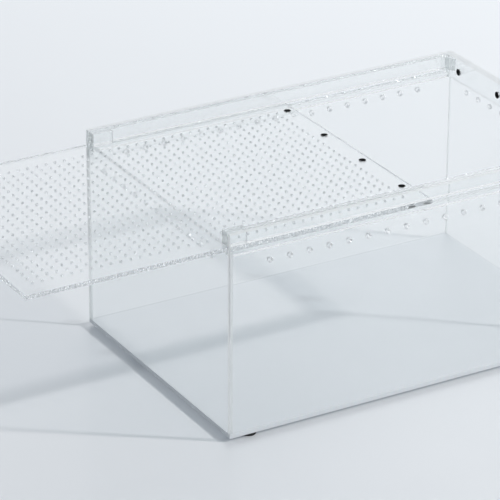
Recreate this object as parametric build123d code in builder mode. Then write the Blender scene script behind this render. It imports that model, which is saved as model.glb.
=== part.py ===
"""Clear acrylic insect cage with a perforated lid that slides in grooves and closes on magnets.

Millimetres, +Z up. +X runs along the cage to the end where the lid closes, +Y to the back wall.
The origin is the centre of the base plate's underside, and four rubber feet reach below it.
The lid is modelled part open, drawn out past the left end.
"""

from build123d import *
import os

os.makedirs("parts", exist_ok=True)

# Box
LENGTH = 300.0
WIDTH = 200.0
WALL = 3.0
BASE_T = 3.0
TOP_Z = 147.5

# Lid groove: an upper and a lower rail along each long wall
RAIL_W = 5.0
UPPER_RAIL_H = 9.2
LOWER_RAIL_H = 3.6
LID_GAP = 0.3

# Lid
LID_L = 300.0
LID_T = 3.0
LID_SIDE_GAP = 0.5
LID_HOLE_D = 2.0
LID_HOLE_PITCH = 7.0
LID_HOLE_COLUMNS = 40
LID_HOLE_ROWS = 24
LEAD_MARGIN = 14.5
LEAD_X = 5.5

# Magnets: discs set flush in the lid and in the stop bar
MAGNET_D = 5.0
MAGNET_T = 2.0
MAGNET_GAP = 0.05
MAGNET_PITCH = 50.0
MAGNET_COUNT = 4
MAGNET_ROW_Y = 5.5
MAGNET_SETBACK = 6.0
STOP_MAGNET_DROP = 9.0

# Stop bar across the closing end, and the small blocks in the rail corners
STOP_BAR_T = 3.5
END_BLOCK_L = 15.0
END_BLOCK_W = 3.0
GUSSET_LEG = 7.5

# Vents below the rails
VENT_D = 4.0
VENT_PITCH = 15.0
VENT_DROP = 24.0
SIDE_VENTS = 17
END_VENTS = 11

# Feet
FOOT_D = 10.0
FOOT_H = 2.5
FOOT_EDGE = 0.6
FOOT_INSET_X = 17.5
FOOT_INSET_Y = 5.5

# Derived planes
half_l = LENGTH / 2
half_w = WIDTH / 2
inner_x = half_l - WALL
inner_y = half_w - WALL
rail_y = inner_y - RAIL_W
upper_rail_z = TOP_Z - UPPER_RAIL_H
lid_top_z = upper_rail_z - LID_GAP
lid_bottom_z = lid_top_z - LID_T
groove_floor_z = lid_bottom_z - LID_GAP
lower_rail_z = groove_floor_z - LOWER_RAIL_H
stop_x = inner_x - STOP_BAR_T
vent_z = TOP_Z - VENT_DROP
lid_half_w = inner_y - LID_SIDE_GAP
lid_mid_x = LEAD_X - LID_L / 2
hole_field_x = LEAD_X - LEAD_MARGIN - (LID_HOLE_COLUMNS - 1) * LID_HOLE_PITCH / 2
magnet_ys = [MAGNET_ROW_Y + (i - (MAGNET_COUNT - 1) / 2) * MAGNET_PITCH for i in range(MAGNET_COUNT)]


def save(piece, label):
    piece.part.label = label
    export_step(piece.part, f"parts/{label}.step")


def bar(x_lo, x_hi, y_lo, y_hi, z_lo, z_hi):
    """A rectangular strip cut from sheet, given by its two corners."""
    with BuildPart() as strip:
        with BuildSketch(Plane.XY.offset(z_lo)):
            with Locations(((x_lo + x_hi) / 2, (y_lo + y_hi) / 2)):
                Rectangle(x_hi - x_lo, y_hi - y_lo)
        extrude(amount=z_hi - z_lo)
    return strip


def vented_wall(plane, span, top_z, vents):
    """A wall that stands on the base plate, drawn on its outer face, with one row of vents."""
    with BuildPart() as wall:
        with BuildSketch(plane):
            with Locations((0, (BASE_T + top_z) / 2)):
                Rectangle(span, top_z - BASE_T)
            with Locations((0, vent_z)):
                with GridLocations(VENT_PITCH, VENT_PITCH, vents, 1):
                    Circle(VENT_D / 2, mode=Mode.SUBTRACT)
        extrude(amount=-WALL)
    return wall


# Base plate, under all four walls
with BuildPart() as base_plate:
    with BuildSketch():
        Rectangle(LENGTH, WIDTH)
    extrude(amount=BASE_T)
save(base_plate, "base_plate")

# Walls: the long ones run the full length, and the left one stops under the lid
front_wall = vented_wall(Plane.XZ.offset(half_w), LENGTH, TOP_Z, SIDE_VENTS)
save(front_wall, "front_wall")

back_face = Plane(origin=(0, half_w, 0), x_dir=(-1, 0, 0), z_dir=(0, 1, 0))
back_wall = vented_wall(back_face, LENGTH, TOP_Z, SIDE_VENTS)
save(back_wall, "back_wall")

right_end_wall = vented_wall(Plane.YZ.offset(half_l), 2 * inner_y, TOP_Z, END_VENTS)
save(right_end_wall, "right_end_wall")

left_face = Plane(origin=(-half_l, 0, 0), x_dir=(0, -1, 0), z_dir=(-1, 0, 0))
left_end_wall = vented_wall(left_face, 2 * inner_y, groove_floor_z, END_VENTS)
save(left_end_wall, "left_end_wall")

# Rails on both long walls, with a clamping block at each mouth of the groove
for side, sign in (("front", -1), ("back", 1)):
    y_lo, y_hi = sorted((sign * rail_y, sign * inner_y))
    upper_rail = bar(-half_l, stop_x, y_lo, y_hi, upper_rail_z, TOP_Z)
    save(upper_rail, f"{side}_upper_rail")
    lower_rail = bar(-inner_x, stop_x, y_lo, y_hi, lower_rail_z, groove_floor_z)
    save(lower_rail, f"{side}_lower_rail")

    y_lo, y_hi = sorted((sign * (rail_y - END_BLOCK_W), sign * rail_y))
    end_block = bar(-half_l, -half_l + END_BLOCK_L, y_lo, y_hi, upper_rail_z, TOP_Z)
    save(end_block, f"{side}_rail_end_block")

    # Triangular gusset where the upper rail meets the stop bar
    with BuildPart() as gusset:
        with BuildSketch(Plane.XY.offset(upper_rail_z)):
            with BuildLine():
                Polyline(
                    (stop_x, sign * rail_y),
                    (stop_x - GUSSET_LEG, sign * rail_y),
                    (stop_x, sign * (rail_y - GUSSET_LEG)),
                    close=True,
                )
            make_face()
        extrude(amount=UPPER_RAIL_H)
    save(gusset, f"{side}_corner_gusset")

# Stop bar on the inside of the right end wall, with a blind pocket for each magnet
with BuildPart() as stop_bar:
    with BuildSketch(Plane.YZ.offset(stop_x)):
        with Locations((0, (lower_rail_z + TOP_Z) / 2)):
            Rectangle(2 * inner_y, TOP_Z - lower_rail_z)
    extrude(amount=STOP_BAR_T)
    with BuildSketch(Plane.YZ.offset(stop_x)):
        with Locations(*[(y, TOP_Z - STOP_MAGNET_DROP) for y in magnet_ys]):
            Circle(MAGNET_D / 2 + MAGNET_GAP)
    extrude(amount=MAGNET_T, mode=Mode.SUBTRACT)
save(stop_bar, "stop_bar")

# Sliding lid: one perforated sheet, with a blind pocket in its top for each magnet
with BuildPart() as lid:
    with BuildSketch(Plane.XY.offset(lid_bottom_z)):
        with Locations((lid_mid_x, 0)):
            Rectangle(LID_L, 2 * lid_half_w)
        with Locations((hole_field_x, 0)):
            with GridLocations(LID_HOLE_PITCH, LID_HOLE_PITCH, LID_HOLE_COLUMNS, LID_HOLE_ROWS):
                Circle(LID_HOLE_D / 2, mode=Mode.SUBTRACT)
    extrude(amount=LID_T)
    with BuildSketch(Plane.XY.offset(lid_top_z)):
        with Locations(*[(LEAD_X - MAGNET_SETBACK, y) for y in magnet_ys]):
            Circle(MAGNET_D / 2 + MAGNET_GAP)
    extrude(amount=-MAGNET_T, mode=Mode.SUBTRACT)
save(lid, "sliding_lid")

# Magnets, numbered from the front to the back
for number, y in enumerate(magnet_ys, start=1):
    with BuildPart() as lid_magnet:
        with BuildSketch(Plane.XY.offset(lid_top_z)):
            with Locations((LEAD_X - MAGNET_SETBACK, y)):
                Circle(MAGNET_D / 2)
        extrude(amount=-MAGNET_T)
    save(lid_magnet, f"lid_magnet_{number}")

    with BuildPart() as stop_magnet:
        with BuildSketch(Plane.YZ.offset(stop_x)):
            with Locations((y, TOP_Z - STOP_MAGNET_DROP)):
                Circle(MAGNET_D / 2)
        extrude(amount=MAGNET_T)
    save(stop_magnet, f"stop_magnet_{number}")

# Rubber feet: low buttons with a rounded lower edge
for side, y in (("front", FOOT_INSET_Y - half_w), ("back", half_w - FOOT_INSET_Y)):
    for end, x in (("left", FOOT_INSET_X - half_l), ("right", half_l - FOOT_INSET_X)):
        with BuildPart() as foot:
            with BuildSketch():
                with Locations((x, y)):
                    Circle(FOOT_D / 2)
            extrude(amount=-FOOT_H)
            fillet(foot.faces().sort_by(Axis.Z)[0].edges(), radius=FOOT_EDGE)
        save(foot, f"foot_{side}_{end}")
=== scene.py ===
"""Looks of the clear acrylic insect cage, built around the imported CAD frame. Metres, +Z up."""

import bpy
import math
import numpy as np
from mathutils import Euler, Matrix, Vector

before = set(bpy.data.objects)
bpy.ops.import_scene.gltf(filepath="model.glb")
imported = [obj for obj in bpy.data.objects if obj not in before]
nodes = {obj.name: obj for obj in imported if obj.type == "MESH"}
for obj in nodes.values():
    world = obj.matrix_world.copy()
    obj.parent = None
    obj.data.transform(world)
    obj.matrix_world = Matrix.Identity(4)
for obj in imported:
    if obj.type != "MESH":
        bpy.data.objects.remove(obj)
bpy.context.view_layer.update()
scene = bpy.context.scene

FOOT_H = 0.0025
FLOOR_Z = -FOOT_H
FLOOR_SIZE = 30.0

# Camera
EYE = (-1.0823, -1.7279, 1.0162)
HEADING_DEG = 30.21
TILT_DOWN_DEG = 25.12
ROLL_DEG = 0.30
LENS_MM = 232.9
SENSOR_MM = 36.0
SHIFT_X = -0.0026
SHIFT_Y = 0.0026

# Light
KEY_AT = (2.03, -1.665, 1.92)
KEY_SIZE = 0.13
KEY_WATTS = 74.0
FILL_AT = (0.9, 1.7, 1.5)
FILL_AIM = (0.5, 1.0, 0.0)
FILL_SIZE = 1.4
FILL_WATTS = 20.0
FILL_COLOUR = (0.96, 0.98, 1.0)
OVERHEAD = (0.285, 0.300, 0.320)
FRONT_WALL = (0.575, 0.60, 0.625)
BACKDROP = (0.905, 0.925, 0.955)
BACKDROP_TOWARDS = (0.49, 0.87, 0.0)
BACKDROP_RISE = 0.55
FADE = 0.4

# A ray crosses many clear sheets, and is reflected many times inside the narrow edges
BOUNCES = 40
TRANSPARENT_BOUNCES = 48

# Acrylic
ACRYLIC_IOR = 1.49
CLEAR = (0.985, 0.993, 0.992)
CUT_SHADE = (0.56, 0.59, 0.60)
HAZE_ROUGHNESS = 0.35
CLOUD_DIM = 0.94
ROUGH_SPREAD = 0.3

# The values between which nearly all of a noise lies, or the part of it that is used
NOISE_BAND = (0.3, 0.7)
SMUDGE_BAND = (0.35, 0.75)
CLOUD_BAND = (0.35, 0.65)
FULL_RANGE = (0.0, 1.0)


def new_material(name):
    """An empty node material with its output."""
    material = bpy.data.materials.new(name)
    material.use_nodes = True
    tree = material.node_tree
    tree.nodes.clear()
    output = tree.nodes.new("ShaderNodeOutputMaterial")
    return material, tree, output


def link(tree, a, b):
    tree.links.new(a, b)


def noise_value(tree, scale, detail):
    """Noise in object space, so that it stays put on the piece."""
    coords = tree.nodes.new("ShaderNodeTexCoord")
    noise = tree.nodes.new("ShaderNodeTexNoise")
    noise.inputs["Scale"].default_value = scale
    noise.inputs["Detail"].default_value = detail
    link(tree, coords.outputs["Object"], noise.inputs["Vector"])
    return noise.outputs["Fac"]


def map_range(tree, value, source, target):
    """Maps a value from the source range to the target range, and clamps it."""
    node = tree.nodes.new("ShaderNodeMapRange")
    node.inputs["From Min"].default_value = source[0]
    node.inputs["From Max"].default_value = source[1]
    node.inputs["To Min"].default_value = target[0]
    node.inputs["To Max"].default_value = target[1]
    link(tree, value, node.inputs["Value"])
    return node.outputs["Result"]


def mix_colour(tree, factor, a, b):
    node = tree.nodes.new("ShaderNodeMix")
    node.data_type = "RGBA"
    for socket, colour in (("A", a), ("B", b)):
        if isinstance(colour, tuple):
            node.inputs[socket].default_value = (*colour, 1)
        else:
            link(tree, colour, node.inputs[socket])
    link(tree, factor, node.inputs["Factor"])
    return node.outputs["Result"]


def mix_shader(tree, factor, a, b):
    node = tree.nodes.new("ShaderNodeMixShader")
    if isinstance(factor, float):
        node.inputs["Fac"].default_value = factor
    else:
        link(tree, factor, node.inputs["Fac"])
    link(tree, a, node.inputs[1])
    link(tree, b, node.inputs[2])
    return node.outputs["Shader"]


def let_light_through(tree, shader, tint, output):
    """Lamps and diffuse bounces pass straight through with a loss; every other ray meets the real surface."""
    clear = tree.nodes.new("ShaderNodeBsdfTransparent")
    clear.inputs["Color"].default_value = (*tint, 1)
    path = tree.nodes.new("ShaderNodeLightPath")
    for ray in ("Is Diffuse Ray", "Is Shadow Ray"):
        shader = mix_shader(tree, path.outputs[ray], shader, clear.outputs["BSDF"])
    link(tree, shader, output.inputs["Surface"])


def glass(tree, colour, roughness):
    """Refracting acrylic whose roughness comes from another node."""
    body = tree.nodes.new("ShaderNodeBsdfPrincipled")
    body.inputs["IOR"].default_value = ACRYLIC_IOR
    body.inputs["Transmission Weight"].default_value = 1.0
    body.inputs["Base Color"].default_value = (*colour, 1)
    link(tree, roughness, body.inputs["Roughness"])
    return body.outputs["BSDF"]


def acrylic_face(name, colour, shade):
    """Polished face of a clear sheet, with faint smudges in its gloss."""
    material, tree, output = new_material(name)
    smudge = noise_value(tree, scale=18.0, detail=4.0)
    body = glass(tree, colour, map_range(tree, smudge, SMUDGE_BAND, (0.004, 0.02)))
    let_light_through(tree, body, shade, output)
    return material


def acrylic_cut(name, colour, frost, frost_share, rough, shade, forward):
    """Cut edge of a clear sheet: blurred and partly frosted, the frost passing a share of light on."""
    material, tree, output = new_material(name)
    grain = noise_value(tree, scale=900.0, detail=2.0)
    spread = (rough * (1 - ROUGH_SPREAD), rough * (1 + ROUGH_SPREAD))
    body = glass(tree, colour, map_range(tree, grain, NOISE_BAND, spread))
    haze = tree.nodes.new("ShaderNodeBsdfPrincipled")
    haze.inputs["Roughness"].default_value = HAZE_ROUGHNESS
    dim = tuple(CLOUD_DIM * c for c in frost)
    cloud = map_range(tree, grain, CLOUD_BAND, FULL_RANGE)
    link(tree, mix_colour(tree, cloud, dim, frost), haze.inputs["Base Color"])
    onward = tree.nodes.new("ShaderNodeBsdfTranslucent")
    onward.inputs["Color"].default_value = (*frost, 1)
    scatter = mix_shader(tree, forward, haze.outputs["BSDF"], onward.outputs["BSDF"])
    let_light_through(tree, mix_shader(tree, frost_share, body, scatter), shade, output)
    return material


def solid(name, colour, dark, rough, scale, bump=0.0, gloss=0.5, through=None):
    """Opaque material whose colour and roughness wander a little.

    Given the share of lamp light that it lets through, it is milky instead of opaque."""
    material, tree, output = new_material(name)
    noise = noise_value(tree, scale, detail=5.0)
    body = tree.nodes.new("ShaderNodeBsdfPrincipled")
    spread = map_range(tree, noise, NOISE_BAND, FULL_RANGE)
    link(tree, mix_colour(tree, spread, dark, colour), body.inputs["Base Color"])
    link(tree, map_range(tree, noise, NOISE_BAND, rough), body.inputs["Roughness"])
    body.inputs["Specular IOR Level"].default_value = gloss
    if bump:
        bumps = tree.nodes.new("ShaderNodeBump")
        bumps.inputs["Strength"].default_value = bump
        bumps.inputs["Distance"].default_value = 0.0001
        link(tree, noise_value(tree, scale * 6, detail=2.0), bumps.inputs["Height"])
        link(tree, bumps.outputs["Normal"], body.inputs["Normal"])
    if through:
        let_light_through(tree, body.outputs["BSDF"], through, output)
    else:
        link(tree, body.outputs["BSDF"], output.inputs["Surface"])
    return material


clear_face = acrylic_face("acrylic_face", CLEAR, shade=(0.965, 0.972, 0.975))
bar_face = acrylic_face("acrylic_bar_face", CLEAR, shade=(0.86, 0.875, 0.885))
lid_face = acrylic_face("acrylic_lid_face", CLEAR, shade=(0.88, 0.89, 0.90))
sawn_cut = acrylic_cut(
    "acrylic_sawn_cut",
    colour=(0.985, 0.994, 0.99),
    frost=(0.96, 0.975, 0.975),
    frost_share=0.72,
    rough=0.2,
    shade=CUT_SHADE,
    forward=0.3,
)
laser_cut = acrylic_cut(
    "acrylic_laser_cut",
    colour=(0.98, 0.992, 0.986),
    frost=(0.94, 0.96, 0.96),
    frost_share=0.15,
    rough=0.03,
    shade=CUT_SHADE,
    forward=0.1,
)
groove_cut = acrylic_cut(
    "acrylic_groove_cut",
    colour=(0.98, 0.992, 0.986),
    frost=(0.92, 0.94, 0.94),
    frost_share=0.12,
    rough=0.03,
    shade=CUT_SHADE,
    forward=0.1,
)
hole_cut = acrylic_cut(
    "acrylic_hole",
    colour=(0.985, 0.99, 0.99),
    frost=(0.98, 0.99, 0.995),
    frost_share=0.6,
    rough=0.2,
    shade=(0.72, 0.75, 0.77),
    forward=0.8,
)
opal = solid(
    "acrylic_opal",
    colour=(0.72, 0.75, 0.775),
    dark=(0.71, 0.74, 0.765),
    rough=(0.22, 0.26),
    scale=40.0,
    gloss=0.4,
    through=(0.62, 0.64, 0.66),
)
magnet = solid(
    "magnet_coating",
    colour=(0.006, 0.006, 0.0065),
    dark=(0.003, 0.003, 0.0035),
    rough=(0.38, 0.5),
    scale=700.0,
    bump=0.2,
    gloss=0.02,
)
rubber = solid(
    "foot_rubber",
    colour=(0.02, 0.02, 0.02),
    dark=(0.01, 0.01, 0.01),
    rough=(0.6, 0.8),
    scale=900.0,
    bump=0.4,
)
floor_board = solid(
    "floor_board",
    colour=(0.80, 0.82, 0.84),
    dark=(0.79, 0.81, 0.83),
    rough=(0.12, 0.2),
    scale=3.0,
    gloss=0.4,
)

# The direction a sheet's polished faces look in; its other faces are cut edges
FACES_X = ("left_end_wall", "right_end_wall", "stop_bar")
FACES_Z = ("sliding_lid", "front_corner_gusset", "back_corner_gusset")
FACING_LIMIT = 0.7
SEAM_OVERLAP = 0.00004
WELD_DISTANCE = 0.000001
FACE_SLOT, CUT_SLOT, HOLE_SLOT = 0, 1, 2


def paint_sheet(name, obj):
    """Gives a clear sheet's polished faces, cut edges and round holes their own materials."""
    axis = 0 if name in FACES_X else 2 if name in FACES_Z else 1
    mesh = obj.data
    face = {"sliding_lid": lid_face, "stop_bar": bar_face}.get(name, clear_face)
    if "gusset" in name:
        cut = face
    elif "lower_rail" in name:
        cut = groove_cut
    elif name == "sliding_lid" or "rail" in name:
        cut = laser_cut
    else:
        cut = sawn_cut
    for material in (face, cut, hole_cut):
        mesh.materials.append(material)
    count = len(mesh.polygons)
    normals = np.empty(count * 3)
    mesh.polygons.foreach_get("normal", normals)
    normals = np.abs(normals.reshape(count, 3))
    smooth = np.empty(count, dtype=bool)
    mesh.polygons.foreach_get("use_smooth", smooth)
    slots = np.where(normals[:, axis] > FACING_LIMIT, FACE_SLOT, CUT_SLOT)
    slots[smooth] = HOLE_SLOT
    mesh.polygons.foreach_set("material_index", slots.astype(np.int32))


def close_seams(obj):
    """Pushes the faces out a little, so that glued sheets have no empty film between them."""
    weld = obj.modifiers.new("weld", "WELD")
    weld.merge_threshold = WELD_DISTANCE
    push = obj.modifiers.new("seam", "DISPLACE")
    push.mid_level = 0.0
    push.strength = SEAM_OVERLAP


for name, obj in nodes.items():
    obj.data.materials.clear()
    if name == "base_plate":
        obj.data.materials.append(opal)
    elif "magnet" in name:
        obj.data.materials.append(magnet)
    elif name.startswith("foot"):
        obj.data.materials.append(rubber)
    else:
        paint_sheet(name, obj)
        close_seams(obj)

# Floor
bpy.ops.mesh.primitive_plane_add(size=FLOOR_SIZE, location=(0, 0, FLOOR_Z))
floor = bpy.context.object
floor.name = "studio_floor"
floor.data.materials.append(floor_board)

# World
world = bpy.data.worlds.new("studio")
scene.world = world
world.use_nodes = True
sky = world.node_tree
background = sky.nodes["Background"]


def sky_math(operation, a, b):
    node = sky.nodes.new("ShaderNodeMath")
    node.operation = operation
    for socket, value in enumerate((a, b)):
        if isinstance(value, float):
            node.inputs[socket].default_value = value
        else:
            link(sky, value, node.inputs[socket])
    return node.outputs["Value"]


# A white sweep: bright up to a fair height on one side, low walls around, and a dimmer ceiling
direction = sky.nodes.new("ShaderNodeTexCoord").outputs["Generated"]
facing = sky.nodes.new("ShaderNodeVectorMath")
facing.operation = "DOT_PRODUCT"
facing.inputs[1].default_value = BACKDROP_TOWARDS
link(sky, direction, facing.inputs[0])
behind = map_range(sky, facing.outputs["Value"], FULL_RANGE, FULL_RANGE)
parts = sky.nodes.new("ShaderNodeSeparateXYZ")
link(sky, direction, parts.inputs["Vector"])
height = sky_math("SUBTRACT", parts.outputs["Z"], sky_math("MULTIPLY", behind, BACKDROP_RISE))
wall = map_range(sky, height, (0.0, FADE), (1.0, 0.0))
walls = mix_colour(sky, behind, FRONT_WALL, BACKDROP)
link(sky, mix_colour(sky, wall, OVERHEAD, walls), background.inputs["Color"])
background.inputs["Strength"].default_value = 1.0


def area(name, at, aim, size, watts, colour=(1, 1, 1)):
    """A round lamp that looks from one point towards another."""
    data = bpy.data.lights.new(name, "AREA")
    data.shape = "DISK"
    data.size = size
    data.energy = watts
    data.color = colour
    lamp = bpy.data.objects.new(name, data)
    scene.collection.objects.link(lamp)
    lamp.location = at
    lamp.rotation_euler = (Vector(aim) - Vector(at)).to_track_quat("-Z", "Y").to_euler()
    return lamp


area("key", KEY_AT, (0, 0, 0), KEY_SIZE, KEY_WATTS)
back_fill = area("back_fill", FILL_AT, FILL_AIM, FILL_SIZE, FILL_WATTS, FILL_COLOUR)
back_fill.visible_glossy = False
back_fill.visible_transmission = False

# Camera
camera_data = bpy.data.cameras.new("camera")
camera_data.lens = LENS_MM
camera_data.sensor_width = SENSOR_MM
camera_data.shift_x = SHIFT_X
camera_data.shift_y = SHIFT_Y
camera = bpy.data.objects.new("camera", camera_data)
scene.collection.objects.link(camera)
camera.location = EYE
camera.rotation_mode = "XYZ"
tilt = math.radians(90 - TILT_DOWN_DEG)
heading = Euler((tilt, 0, math.radians(-HEADING_DEG)), "XYZ").to_matrix()
roll = Euler((0, 0, math.radians(ROLL_DEG)), "XYZ").to_matrix()
camera.rotation_euler = (heading @ roll).to_euler("XYZ")
scene.camera = camera

scene.view_settings.view_transform = "Standard"
scene.cycles.max_bounces = BOUNCES
scene.cycles.transmission_bounces = BOUNCES
scene.cycles.glossy_bounces = BOUNCES
scene.cycles.transparent_max_bounces = TRANSPARENT_BOUNCES
